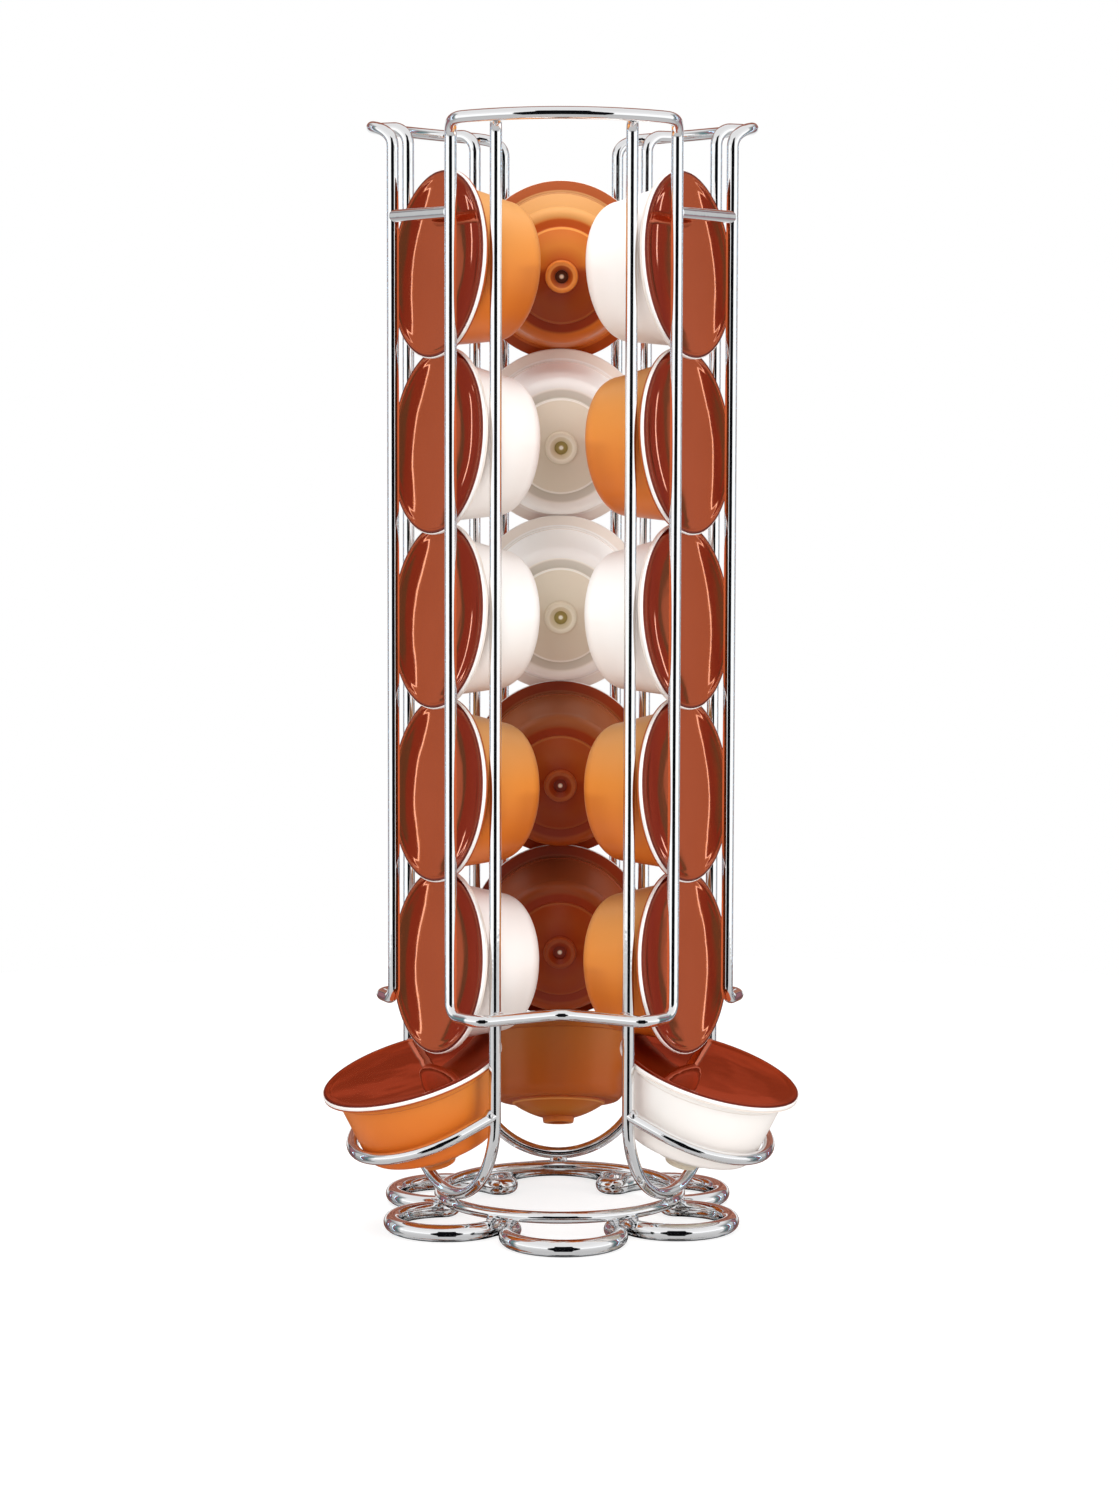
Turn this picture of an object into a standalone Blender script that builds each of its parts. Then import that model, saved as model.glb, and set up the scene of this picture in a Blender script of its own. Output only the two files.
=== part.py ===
"""Coffee capsule dispenser: a welded, chromed wire tower that holds three columns of capsules.

Each column keeps five capsules on edge between a U-shaped guide wire at their backs and the
uprights of two retaining frames at their lids. A sixth capsule lies in a sloping cradle hoop
below them and carries the column. Metres, +Z up, the tower's front towards -Y.
A column or a frame is modelled in its own axes: +X outward from the tower's axis, +Y sideways.
"""
import math

import bmesh
import bpy
from mathutils import Vector
from mathutils.geometry import interpolate_bezier

# Wire stock. A wire has eight flats, and its gauge is measured across them.
fine_wire_radius = 0.00175
base_wire_radius = 0.00250
wire_sides = 8
seat_gap = 0.0003

# Capsule, turned about its own axis, with depths counted inward from the lid's outer face.
rim_radius = 0.0270
rim_thickness = 0.0010
lid_radius = 0.0267
lid_thickness = 0.0003
body_mouth_radius = 0.0233
body_base_radius = 0.0203
body_depth = 0.0200
base_round = 0.0042
step_radius = 0.0143
step_depth = 0.0008
step_taper = 0.0003
dome_height = 0.0042
boss_radius = 0.0049
boss_depth = 0.0018
boss_taper = 0.0003
capsule_sides = 20

# Column: its guide wire, the slot that the rims run in, and the capsules in it.
column_count = 3
stack_count = 5
guide_reach = 0.0369
guide_half_width = 0.0258
slot_depth = 0.0097
retainer_half_gap = 0.0172
stack_set_out = 0.0050
stack_lean = math.radians(5.2)

# Cradle at the foot of a column.
cradle_tilt = math.radians(18.0)
cradle_height = 0.0490
hoop_height = 0.0380
hoop_slope = math.radians(25.0)
hoop_side_play = 0.0008

# Retaining frames and top.
crown_height = 0.3195
crown_throw = 0.0085
crown_rise = 0.0014
crossbar_drop = 0.0250
guide_top_bend = 0.0048
frame_foot_height = 0.0663
frame_top_bend = 0.0050
frame_foot_bend = 0.0042
shoulder_set_out = 0.00504
shoulder_bend = 0.0050
notch_set_in = 0.0027
notch_bend = 0.0090

# Base: a flower of six lobes lying on the table, and the ring that sits on its cusps.
lobe_count = 6
guide_overhang = 0.0013
lobe_set_out = 0.0030
cusp_set_in = 0.0036
cusp_bend = 0.0032
flower_turn = math.radians(1.0)

# Fineness of the bends.
bend_step = math.radians(24.0)
crown_bend_points = 6
lobe_step = math.radians(19.0)
ring_steps = 36
arch_steps = 12

# Headings are turned from the front, towards +X.
column_headings = {"left": -60.0, "right": 60.0, "back": 180.0}
frame_headings = {"front": 0.0, "back_right": 120.0, "back_left": -120.0}

# Cup colours of each column, from the cradle up.
cup_colours = {
    "left": ("orange", "white", "orange", "white", "white", "orange"),
    "right": ("white", "orange", "orange", "white", "orange", "white"),
    "back": ("orange", "orange", "orange", "white", "white", "orange"),
}

# Colour, roughness and metallic value of each finish.
finishes = {
    "chrome": ((0.80, 0.81, 0.82, 1.0), 0.10, 1.0),
    "orange": ((0.80, 0.33, 0.09, 1.0), 0.35, 0.0),
    "white": ((0.90, 0.88, 0.86, 1.0), 0.35, 0.0),
    "foil": ((0.36, 0.05, 0.02, 1.0), 0.22, 0.0),
}

# Sizes worked out from the driving ones.
half_facet = math.pi / wire_sides
fine_corner = fine_wire_radius / math.cos(half_facet)
wing = math.radians(360.0 / column_count / 2.0)
rim_depth = lid_thickness + seat_gap
body_start = rim_depth + rim_thickness
body_slope = (body_mouth_radius - body_base_radius) / (body_depth - body_start)
stack_reach = guide_reach + stack_set_out
retainer_reach = guide_reach + slot_depth
crown_radius = retainer_reach + crown_throw
crossbar_height = crown_height - crossbar_drop
notch_reach = guide_reach - notch_set_in
ring_radius = guide_reach - guide_overhang
lobe_centre_radius = ring_radius + lobe_set_out
cusp_reach = ring_radius - cusp_set_in


def clear_scene():
    """Remove every object, so that the model starts from nothing."""
    for thing in list(bpy.data.objects):
        bpy.data.objects.remove(thing, do_unlink=True)


def make_material(name):
    """One Principled material from the table of finishes."""
    colour, roughness, metallic = finishes[name]
    material = bpy.data.materials.new(name)
    material.use_nodes = True
    shader = material.node_tree.nodes["Principled BSDF"]
    shader.inputs["Base Color"].default_value = colour
    shader.inputs["Roughness"].default_value = roughness
    shader.inputs["Metallic"].default_value = metallic
    material.diffuse_color = colour
    return material


def add_empty(name, parent=None, location=(0.0, 0.0, 0.0), turn=None):
    """A guide frame for what hangs on it."""
    empty = bpy.data.objects.new(name, None)
    bpy.context.scene.collection.objects.link(empty)
    empty.parent = parent
    empty.location = location
    if turn is not None:
        empty.rotation_euler = turn
    return empty


def add_object(name, mesh, parent, material):
    """A named piece, carried by its guide frame."""
    mesh.materials.append(material)
    piece = bpy.data.objects.new(name, mesh)
    bpy.context.scene.collection.objects.link(piece)
    piece.parent = parent
    return piece


def finish_mesh(bm, name):
    """Turn the faces outward and shade the round sides smooth."""
    bmesh.ops.recalc_face_normals(bm, faces=bm.faces)
    mesh = bpy.data.meshes.new(name)
    bm.to_mesh(mesh)
    bm.free()
    mesh.shade_smooth()
    mesh.set_sharp_from_angle(angle=math.radians(50.0))
    return mesh


# Paths that a wire follows

def arc(centre, first, second, start, end, step):
    """Points on an arc about a centre, in the plane of two perpendicular radius vectors."""
    count = max(2, math.ceil(abs(end - start) / step))
    angles = [start + (end - start) * i / count for i in range(count + 1)]
    return [centre + first * math.cos(a) + second * math.sin(a) for a in angles]


def bend(before, corner, after, radius):
    """The round that replaces a corner between two straight runs."""
    incoming = (corner - before).normalized()
    outgoing = (after - corner).normalized()
    turn = incoming.angle(outgoing)
    if turn < math.radians(1.0) or radius <= 0.0:
        return [corner]
    tangent = radius * math.tan(turn / 2.0)
    start = corner - incoming * tangent
    inward = (outgoing - incoming * incoming.dot(outgoing)).normalized()
    centre = start + inward * radius
    return arc(centre, -inward * radius, incoming * radius, 0.0, turn, bend_step)


def rounded_route(corners, closed):
    """A route through corners, each given as a point and its bend radius."""
    points = []
    count = len(corners)
    for i, (corner, radius) in enumerate(corners):
        at_end = not closed and i in (0, count - 1)
        if at_end:
            points.append(corner)
            continue
        before = corners[i - 1][0]
        after = corners[(i + 1) % count][0]
        points.extend(bend(before, corner, after, radius))
    return points


def tidy_route(points, closed):
    """Drop points that fall on their neighbour."""
    kept = []
    for point in points:
        if not kept or (point - kept[-1]).length > seat_gap:
            kept.append(point)
    if closed and (kept[0] - kept[-1]).length <= seat_gap:
        kept.pop()
    return kept


def tangents_along(points, closed):
    """The wire's direction at each point of its route."""
    count = len(points)
    result = []
    for i, point in enumerate(points):
        ahead = points[(i + 1) % count] if closed or i < count - 1 else point
        behind = points[i - 1] if closed or i > 0 else point
        run_in = (point - behind).normalized()
        run_out = (ahead - point).normalized()
        result.append((run_in + run_out).normalized())
    return result


def wire_mesh(name, points, radius, closed, level):
    """Draw a wire of even gauge along its route, with one flat facing the level direction."""
    points = tidy_route(points, closed)
    tangents = tangents_along(points, closed)
    corner_radius = radius / math.cos(half_facet)
    side = tangents[0].cross(level).normalized()
    sides = [side]
    for before, tangent in zip(tangents, tangents[1:]):
        side = before.rotation_difference(tangent) @ side
        side = (side - tangent * tangent.dot(side)).normalized()
        sides.append(side)
    bm = bmesh.new()
    rings = []
    for point, tangent, side in zip(points, tangents, sides):
        up = side.cross(tangent).normalized()
        ring = []
        for k in range(wire_sides):
            angle = (2 * k + 1) * half_facet
            offset = side * math.cos(angle) + up * math.sin(angle)
            ring.append(bm.verts.new(point + offset * corner_radius))
        rings.append(ring)
    pairs = list(zip(rings, rings[1:]))
    if closed:
        pairs.append((rings[-1], rings[0]))
    for first, second in pairs:
        for k in range(wire_sides):
            after = (k + 1) % wire_sides
            bm.faces.new((first[k], first[after], second[after], second[k]))
    if not closed:
        bm.faces.new(rings[0])
        bm.faces.new(rings[-1])
    return finish_mesh(bm, name)


# Heights and reaches where the pieces seat on one another

def ring_height():
    """The ring's flats rest on the flower's flats."""
    return 2.0 * base_wire_radius + seat_gap + fine_wire_radius


def guide_foot_height():
    """The guide's lowest point, leaning on the outside of the ring."""
    spacing = 2.0 * fine_corner + seat_gap
    sideways = guide_reach - ring_radius
    return ring_height() + math.sqrt(spacing ** 2 - sideways ** 2)


def cradle_reach():
    """The cradle capsule's rim rests between the guide's two arms."""
    cut_radius = fine_corner / math.cos(cradle_tilt)
    spacing = rim_radius + cut_radius + seat_gap
    along_lid = math.sqrt(spacing ** 2 - guide_half_width ** 2)
    return guide_reach + along_lid * math.cos(cradle_tilt)


def hoop_front():
    """Reach and height of the hoop's front, where the cradle capsule's side rests on it."""
    offset = (fine_corner + seat_gap) * math.sqrt(1.0 + body_slope ** 2)
    limit = body_mouth_radius + body_slope * body_start + offset
    outward = math.cos(cradle_tilt) - body_slope * math.sin(cradle_tilt)
    upward = math.sin(cradle_tilt) + body_slope * math.cos(cradle_tilt)
    fall = math.tan(hoop_slope)
    known = limit + outward * cradle_reach() + upward * (hoop_height + guide_reach * fall - cradle_height)
    reach = known / (outward + upward * fall)
    return reach, hoop_height - (reach - guide_reach) * fall


def stack_pitch():
    """Height between two capsules: a body rests on the rim of the capsule below it."""
    room = rim_radius + body_mouth_radius + body_slope * (body_start - rim_depth) + seat_gap
    return room / (math.cos(stack_lean) + body_slope * math.sin(stack_lean))


def stack_foot():
    """Height of the lowest standing capsule, from what its rim and its body meet in the cradle."""
    lean_cos, lean_sin = math.cos(stack_lean), math.sin(stack_lean)
    tilt_cos, tilt_sin = math.cos(cradle_tilt), math.sin(cradle_tilt)
    heights = []
    for radius, depth in ((lid_radius, 0.0), (rim_radius, rim_depth), (rim_radius, body_start)):
        reach = stack_reach + radius * lean_sin - depth * lean_cos
        lid_rise = (seat_gap - (reach - cradle_reach()) * tilt_sin) / tilt_cos
        heights.append(cradle_height + lid_rise + radius * lean_cos + depth * lean_sin)
    limit = body_mouth_radius + body_slope * body_start + seat_gap
    for radius, depth in ((lid_radius, 0.0), (rim_radius, rim_depth)):
        reach = cradle_reach() - radius * tilt_cos - depth * tilt_sin
        height = cradle_height + radius * tilt_sin - depth * tilt_cos
        across = (reach - stack_reach) * (lean_sin - body_slope * lean_cos)
        heights.append(height + (limit - across) / (lean_cos + body_slope * lean_sin))
    return max(heights)


def frame_corner():
    """A retaining upright, seen from the frame: outward and sideways."""
    outward = retainer_reach * math.cos(wing) + retainer_half_gap * math.sin(wing)
    sideways = retainer_reach * math.sin(wing) - retainer_half_gap * math.cos(wing)
    return outward, sideways


def guide_corner():
    """A guide's arm, seen from the frame beside it: outward and sideways."""
    outward = guide_reach * math.cos(wing) + guide_half_width * math.sin(wing)
    sideways = guide_reach * math.sin(wing) - guide_half_width * math.cos(wing)
    return outward, sideways


def crown_slope():
    """How steeply a crown arch climbs from the uprights outward."""
    return crown_rise / (crown_radius - frame_corner()[0])


def crown_level(outward):
    """Height of a crown arch at a reach from the tower's axis."""
    return crown_height + crown_slope() * (outward - frame_corner()[0])


def frame_shoulder():
    """The foot's shoulder, outward and sideways: its wire passes just outside the guides' arms."""
    arm_out, arm_side = guide_corner()
    sideways = arm_side + shoulder_set_out
    spacing = 2.0 * fine_corner + seat_gap
    towards_arm = math.atan2(arm_out - notch_reach, arm_side)
    past_arm = math.asin(spacing / math.hypot(arm_out - notch_reach, arm_side))
    return notch_reach + sideways * math.tan(towards_arm + past_arm), sideways


def lobe_radius():
    """Radius of a lobe that runs smoothly into the cusps beside it."""
    cusp_centre = cusp_reach + cusp_bend
    outward = cusp_centre * math.cos(math.pi / lobe_count) - lobe_centre_radius
    sideways = cusp_centre * math.sin(math.pi / lobe_count)
    return math.hypot(outward, sideways) - cusp_bend


def axis_offset():
    """The tower's axis, set so that the model's box is centred on the origin."""
    front = lobe_centre_radius + lobe_radius() + base_wire_radius
    rim_out = rim_radius * math.cos(cradle_tilt) - rim_depth * math.sin(cradle_tilt)
    back = cradle_reach() + rim_out
    return (front - back) / 2.0


# Wire pieces

def base_flower():
    """The flower: six round lobes joined by tight cusps, lying flat on the table."""
    radius = lobe_radius()
    half_pitch = math.pi / lobe_count
    cusp_centre = cusp_reach + cusp_bend
    outward = cusp_centre * math.cos(half_pitch) - lobe_centre_radius
    sideways = cusp_centre * math.sin(half_pitch)
    sweep = math.atan2(sideways, outward)
    points = []
    for k in range(lobe_count):
        heading = 2.0 * half_pitch * k
        out = Vector((math.cos(heading), math.sin(heading), 0.0))
        side = Vector((-math.sin(heading), math.cos(heading), 0.0))
        up = Vector((0.0, 0.0, base_wire_radius))
        centre = out * lobe_centre_radius + up
        points += arc(centre, out * radius, side * radius, -sweep, sweep, lobe_step)
        cusp_heading = heading + half_pitch
        cusp_out = Vector((math.cos(cusp_heading), math.sin(cusp_heading), 0.0))
        cusp_side = Vector((-math.sin(cusp_heading), math.cos(cusp_heading), 0.0))
        turn = sweep - half_pitch
        cusp_points = arc(cusp_out * cusp_centre + up, -cusp_out * cusp_bend,
                          cusp_side * cusp_bend, -turn, turn, bend_step)
        points += cusp_points[1:-1]
    return wire_mesh("base_flower_wire", points, base_wire_radius, True, Vector((0.0, 0.0, 1.0)))


def base_ring():
    """The ring that sits on the flower's cusps and carries the guides."""
    points = []
    for k in range(ring_steps):
        angle = 2.0 * math.pi * k / ring_steps
        points.append(Vector((ring_radius * math.cos(angle), ring_radius * math.sin(angle), ring_height())))
    return wire_mesh("base_ring", points, fine_wire_radius, True, Vector((0.0, 0.0, 1.0)))


def column_guide(name):
    """A tall U: two arms that turn out under the crown, and a round foot on the ring."""
    arm_out, arm_side = guide_corner()
    crown_inside = crown_radius - fine_corner - seat_gap
    end_out = math.sqrt(crown_inside ** 2 - (arm_side + fine_corner) ** 2)
    end_run = end_out - arm_out
    foot_centre = Vector((guide_reach, 0.0, guide_foot_height() + guide_half_width))
    corners = {}
    top_level = crown_level(end_out)
    for sign in (-1.0, 1.0):
        turn_out = Vector((math.cos(wing), sign * math.sin(wing), 0.0))
        top = Vector((guide_reach, sign * guide_half_width, top_level))
        corners[sign] = (top + turn_out * end_run, top)
    foot = arc(foot_centre, Vector((0.0, -guide_half_width, 0.0)), Vector((0.0, 0.0, -guide_half_width)),
               0.0, math.pi, math.pi / arch_steps)
    route = [corners[-1.0][0]]
    route += bend(corners[-1.0][0], corners[-1.0][1], foot[0], guide_top_bend)
    route += foot
    route += bend(foot[-1], corners[1.0][1], corners[1.0][0], guide_top_bend)
    route.append(corners[1.0][0])
    return wire_mesh(name, route, fine_wire_radius, False, Vector((0.0, 0.0, 1.0)))


def crown_bend(upright_out, upright_side, sign):
    """The sweep from an upright's top into the crown arch, in one smooth double bend."""
    arch_start = math.asin(upright_side / crown_radius) - frame_top_bend / crown_radius
    out, side = math.cos(arch_start), sign * math.sin(arch_start)
    upright_top = Vector((upright_out, sign * upright_side, crown_height - frame_top_bend))
    arch_end = Vector((crown_radius * out, crown_radius * side, crown_level(crown_radius * out)))
    along_arch = Vector((-side * sign, out * sign, -side * sign * crown_slope()))
    first_handle = upright_top + Vector((0.0, 0.0, frame_top_bend))
    last_handle = arch_end + along_arch * frame_top_bend
    return interpolate_bezier(upright_top, first_handle, last_handle, arch_end, crown_bend_points)


def retaining_frame(name):
    """A closed loop: two uprights, a crown arch thrown forward, and a notched foot."""
    upright_out, upright_side = frame_corner()
    shoulder_out, shoulder_side = frame_shoulder()
    first_bend = crown_bend(upright_out, upright_side, 1.0)
    last_bend = crown_bend(upright_out, upright_side, -1.0)
    arch_sweep = math.atan2(first_bend[-1].y, first_bend[-1].x)
    arch = arc(Vector((0.0, 0.0, crown_level(0.0))), Vector((crown_radius, 0.0, crown_radius * crown_slope())),
               Vector((0.0, crown_radius, 0.0)), arch_sweep, -arch_sweep, 2.0 * arch_sweep / arch_steps)
    top = first_bend + arch[1:-1] + last_bend[::-1]
    foot = [
        (Vector((upright_out, -upright_side, frame_foot_height)), frame_foot_bend),
        (Vector((shoulder_out, -shoulder_side, frame_foot_height)), shoulder_bend),
        (Vector((notch_reach, 0.0, frame_foot_height)), notch_bend),
        (Vector((shoulder_out, shoulder_side, frame_foot_height)), shoulder_bend),
        (Vector((upright_out, upright_side, frame_foot_height)), frame_foot_bend),
    ]
    route = rounded_route([(point, 0.0) for point in top] + foot, True)
    return wire_mesh(name, route, fine_wire_radius, True, Vector((1.0, 0.0, 0.0)))


def top_crossbar(name):
    """The short bar between two neighbouring uprights, in front of the top capsule."""
    half_length = retainer_half_gap - fine_corner - seat_gap
    ends = [Vector((retainer_reach, sign * half_length, crossbar_height)) for sign in (-1.0, 1.0)]
    return wire_mesh(name, ends, fine_wire_radius, False, Vector((0.0, 0.0, 1.0)))


def cradle_hoop(name):
    """The sloping hoop that holds the cradle capsule's body, butted to the guide's arms."""
    front_reach, front_height = hoop_front()
    run = Vector((math.cos(hoop_slope), 0.0, -math.sin(hoop_slope)))
    side = Vector((0.0, 1.0, 0.0))
    body_depth_there = (cradle_height - hoop_height) / math.cos(cradle_tilt)
    body_radius_there = body_mouth_radius - body_slope * (body_depth_there - body_start)
    radius = body_radius_there + fine_corner + seat_gap + hoop_side_play
    centre = Vector((front_reach, 0.0, front_height)) - run * radius
    start_reach = guide_reach + fine_corner + seat_gap + fine_corner * math.sin(hoop_slope)
    start_drop = (start_reach - guide_reach) * math.tan(hoop_slope)
    lean = math.atan2(guide_half_width - radius, (centre.x - guide_reach) / math.cos(hoop_slope))
    bow = arc(centre, run * radius, side * radius, -math.pi / 2.0 + lean, math.pi / 2.0 - lean, bend_step / 2.0)
    ends = [Vector((start_reach, sign * guide_half_width, hoop_height - start_drop)) for sign in (-1.0, 1.0)]
    return wire_mesh(name, [ends[0]] + bow + [ends[1]], fine_wire_radius, False, Vector((0.0, 0.0, 1.0)))


# Capsule pieces

def turned_mesh(name, profile):
    """A closed solid turned from radius and depth pairs, from its outer face inward along -Z."""
    bm = bmesh.new()
    rings = []
    for radius, depth in profile:
        ring = []
        for k in range(capsule_sides):
            angle = 2.0 * math.pi * k / capsule_sides
            ring.append(bm.verts.new((radius * math.cos(angle), radius * math.sin(angle), -depth)))
        rings.append(ring)
    for first, second in zip(rings, rings[1:]):
        for k in range(capsule_sides):
            after = (k + 1) % capsule_sides
            bm.faces.new((first[k], first[after], second[after], second[k]))
    bm.faces.new(rings[0])
    bm.faces.new(rings[-1])
    return finish_mesh(bm, name)


def cup_mesh(name):
    """Cup with its rim, tapered body, rounded base, a low step, a shallow dome and its outlet boss."""
    base_end = body_depth + base_round
    step_end = base_end + step_depth
    dome_end = step_end + dome_height
    half_round = math.radians(45.0)
    round_width = base_round * math.sin(half_round)
    return turned_mesh(name, [
        (rim_radius, rim_depth),
        (rim_radius, body_start),
        (body_mouth_radius, body_start),
        (body_base_radius, body_depth),
        (body_base_radius - base_round + round_width, body_depth + round_width),
        (body_base_radius - base_round, base_end),
        (step_radius, base_end),
        (step_radius - step_taper, step_end),
        (boss_radius, dome_end),
        (boss_radius - boss_taper, dome_end + boss_depth),
    ])


def lid_mesh(name):
    """The film sealed over the cup's mouth."""
    return turned_mesh(name, [(lid_radius, 0.0), (lid_radius, lid_thickness)])


def add_capsule(name, parent, reach, height, lean, colour, materials):
    """A capsule carried by an empty at its lid's centre, whose +Z leaves the lid."""
    turn = (0.0, math.pi / 2.0 - lean, 0.0)
    holder = add_empty(name, parent, (reach, 0.0, height), turn)
    add_object(name + "_cup", cup_mesh(name + "_cup"), holder, materials[colour])
    add_object(name + "_lid", lid_mesh(name + "_lid"), holder, materials["foil"])
    return holder


# Assembly

def add_column(side, heading, tower, materials):
    """One column: its guide, crossbar, cradle hoop and six capsules."""
    column = add_empty(side + "_column", tower, turn=(0.0, 0.0, math.radians(heading - 90.0)))
    chrome = materials["chrome"]
    for label, build in (("column_guide", column_guide), ("top_crossbar", top_crossbar),
                         ("cradle_hoop", cradle_hoop)):
        name = side + "_" + label
        add_object(name, build(name), column, chrome)
    colours = cup_colours[side]
    cradle_lean = math.pi / 2.0 - cradle_tilt
    add_capsule(side + "_cradle", column, cradle_reach(), cradle_height, cradle_lean, colours[0], materials)
    for level in range(stack_count):
        name = side + "_stack_" + str(level + 1)
        height = stack_foot() + level * stack_pitch()
        add_capsule(name, column, stack_reach, height, stack_lean, colours[level + 1], materials)


def main():
    """Build the whole dispenser."""
    clear_scene()
    materials = {name: make_material(name) for name in finishes}
    tower = add_empty("tower_axis", location=(0.0, axis_offset(), 0.0))
    foot = add_empty("foot_turn", tower, turn=(0.0, 0.0, flower_turn - math.pi / 2.0))
    add_object("base_flower_wire", base_flower(), foot, materials["chrome"])
    add_object("base_ring", base_ring(), foot, materials["chrome"])
    for side, heading in frame_headings.items():
        stand = add_empty(side + "_frame_side", tower, turn=(0.0, 0.0, math.radians(heading - 90.0)))
        name = side + "_retaining_frame"
        add_object(name, retaining_frame(name), stand, materials["chrome"])
    for side, heading in column_headings.items():
        add_column(side, heading, tower, materials)


main()
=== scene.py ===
"""Looks of the coffee capsule dispenser: a chromed wire tower that keeps three columns of capsules.

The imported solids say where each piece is. Here the wires are drawn round, their welds are added,
and each capsule gets its cup, its white sealing rim and its film lid. Metres, +Z up, front at -Y.
"""
import math

import bpy
from mathutils import Matrix, Vector
from mathutils.geometry import interpolate_bezier


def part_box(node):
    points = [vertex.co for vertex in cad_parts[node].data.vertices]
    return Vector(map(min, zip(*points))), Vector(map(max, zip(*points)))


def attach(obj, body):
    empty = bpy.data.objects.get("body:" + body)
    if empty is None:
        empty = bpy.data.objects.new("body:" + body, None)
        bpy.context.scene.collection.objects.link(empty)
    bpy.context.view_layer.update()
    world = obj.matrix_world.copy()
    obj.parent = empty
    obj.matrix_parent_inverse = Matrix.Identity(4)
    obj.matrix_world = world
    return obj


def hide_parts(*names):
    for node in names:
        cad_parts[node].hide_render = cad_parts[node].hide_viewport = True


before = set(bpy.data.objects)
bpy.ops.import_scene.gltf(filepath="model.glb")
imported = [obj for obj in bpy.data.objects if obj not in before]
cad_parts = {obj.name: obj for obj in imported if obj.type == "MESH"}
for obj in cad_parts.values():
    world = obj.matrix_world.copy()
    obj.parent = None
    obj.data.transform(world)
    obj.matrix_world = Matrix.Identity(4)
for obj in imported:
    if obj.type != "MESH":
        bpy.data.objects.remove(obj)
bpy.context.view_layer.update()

# Wire stock and the clearance that the solids keep where wires meet.
fine_wire_radius = 0.00175
base_wire_radius = 0.00250
solid_wire_sides = 8
fine_corner = fine_wire_radius / math.cos(math.pi / solid_wire_sides)
seat_gap = 0.0003
wire_sides = 24

# Columns and retaining frames, as in the solids.
guide_reach = 0.0369
guide_half_width = 0.0258
slot_depth = 0.0097
retainer_half_gap = 0.0172
wing = math.radians(60.0)
crown_height = 0.3195
crown_throw = 0.0085
crown_rise = 0.0014
crossbar_drop = 0.0250
crossbar_end_share = 0.6
guide_top_bend = 0.0048
frame_foot_height = 0.0663
frame_top_bend = 0.0050
frame_foot_bend = 0.0042
shoulder_set_out = 0.00504
shoulder_bend = 0.0050
notch_set_in = 0.0027
notch_bend = 0.0090
hoop_height = 0.0380
hoop_slope = math.radians(25.0)
hoop_side_play = 0.0008

# Base wires, as in the solids.
lobe_count = 6
guide_overhang = 0.0013
lobe_set_out = 0.0030
cusp_set_in = 0.0036
cusp_bend = 0.0032
flower_turn = math.radians(1.0)

# Worked out as in the solids. Uprights, arms and shoulders are seen from the frame: outward and
# sideways. The shoulder's wire passes just outside the guides' arms.
retainer_reach = guide_reach + slot_depth
crown_radius = retainer_reach + crown_throw
crossbar_height = crown_height - crossbar_drop
notch_reach = guide_reach - notch_set_in
ring_radius = guide_reach - guide_overhang
lobe_centre_radius = ring_radius + lobe_set_out
cusp_reach = ring_radius - cusp_set_in
wire_spacing = 2.0 * fine_corner + seat_gap
ring_height = 2.0 * base_wire_radius + seat_gap + fine_wire_radius
guide_foot_height = ring_height + math.sqrt(wire_spacing ** 2 - (guide_reach - ring_radius) ** 2)
upright_out = retainer_reach * math.cos(wing) + retainer_half_gap * math.sin(wing)
upright_side = retainer_reach * math.sin(wing) - retainer_half_gap * math.cos(wing)
crown_slope = crown_rise / (crown_radius - upright_out)
arm_out = guide_reach * math.cos(wing) + guide_half_width * math.sin(wing)
arm_side = guide_reach * math.sin(wing) - guide_half_width * math.cos(wing)
arm_end_out = math.sqrt((crown_radius - fine_wire_radius) ** 2 - arm_side ** 2)
towards_arm = math.atan2(arm_out - notch_reach, arm_side)
past_arm = math.asin(wire_spacing / math.hypot(arm_out - notch_reach, arm_side))
shoulder_side = arm_side + shoulder_set_out
shoulder_out = notch_reach + shoulder_side * math.tan(towards_arm + past_arm)

# Fineness of the drawn routes.
bend_step = math.radians(7.5)
lobe_step = math.radians(5.0)
ring_steps = 120
arch_steps = 40
crown_bend_points = 20

# Fineness of the capsules.
capsule_sides = 96
wall_steps = 8
edge_steps = 12
dome_steps = 14
film_steps = 32
bead_steps = 8
round_steps = 4
hollow_steps = 3
merge_distance = 0.000002
sharp_angle = math.radians(38.0)

# Capsule, with depths counted inward from the lid's outer face.
lid_thickness = 0.0003
rim_radius = 0.0270
rim_inner_radius = 0.0244
rim_top = 0.00032
rim_bottom = 0.00133
rim_round = 0.00020
film_climb = ((0.0243, 0.00031), (0.0248, 0.00021), (0.0252, 0.00010))
film_bead_radius = 0.0259
film_bead_width = 0.0006
film_bead_height = 0.00010
film_edge_radius = 0.02665
film_edge_top = 0.00022
film_edge_bottom = 0.00030
film_plug_radius = 0.02435
film_shelf = 0.00035
film_dish = 0.00120
cradle_film_dish = 0.00045
film_bowl = 0.44
film_dish_radius = 0.0238
film_flat_radius = 0.0036
film_back = 0.00160
film_seat = 0.00170
flange_radius = 0.0267
flange_top = 0.00135
flange_bottom = 0.00185
groove_radius = 0.0230
neck_radius = 0.02345
neck_bottom = 0.0040
body_top_radius = 0.0231
body_base_radius = 0.0203
body_depth = 0.0200
base_depth = 0.0242
base_edge_radius = 0.0172
step_radius = 0.0143
step_height = 0.0008
dome_height = 0.0042
boss_radius = 0.0049
boss_height = 0.0017
recess_radius = 0.0034
recess_depth = 0.0009
outlet_radius = 0.0020
outlet_depth = 0.0016
mould_round = 0.0002
mould_edge = 0.0001
groove_lip = 0.0003
step_round_share = 0.4
boss_inset = 0.0006
boss_round_width = 0.0004
boss_round_depth = 0.0003
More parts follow.
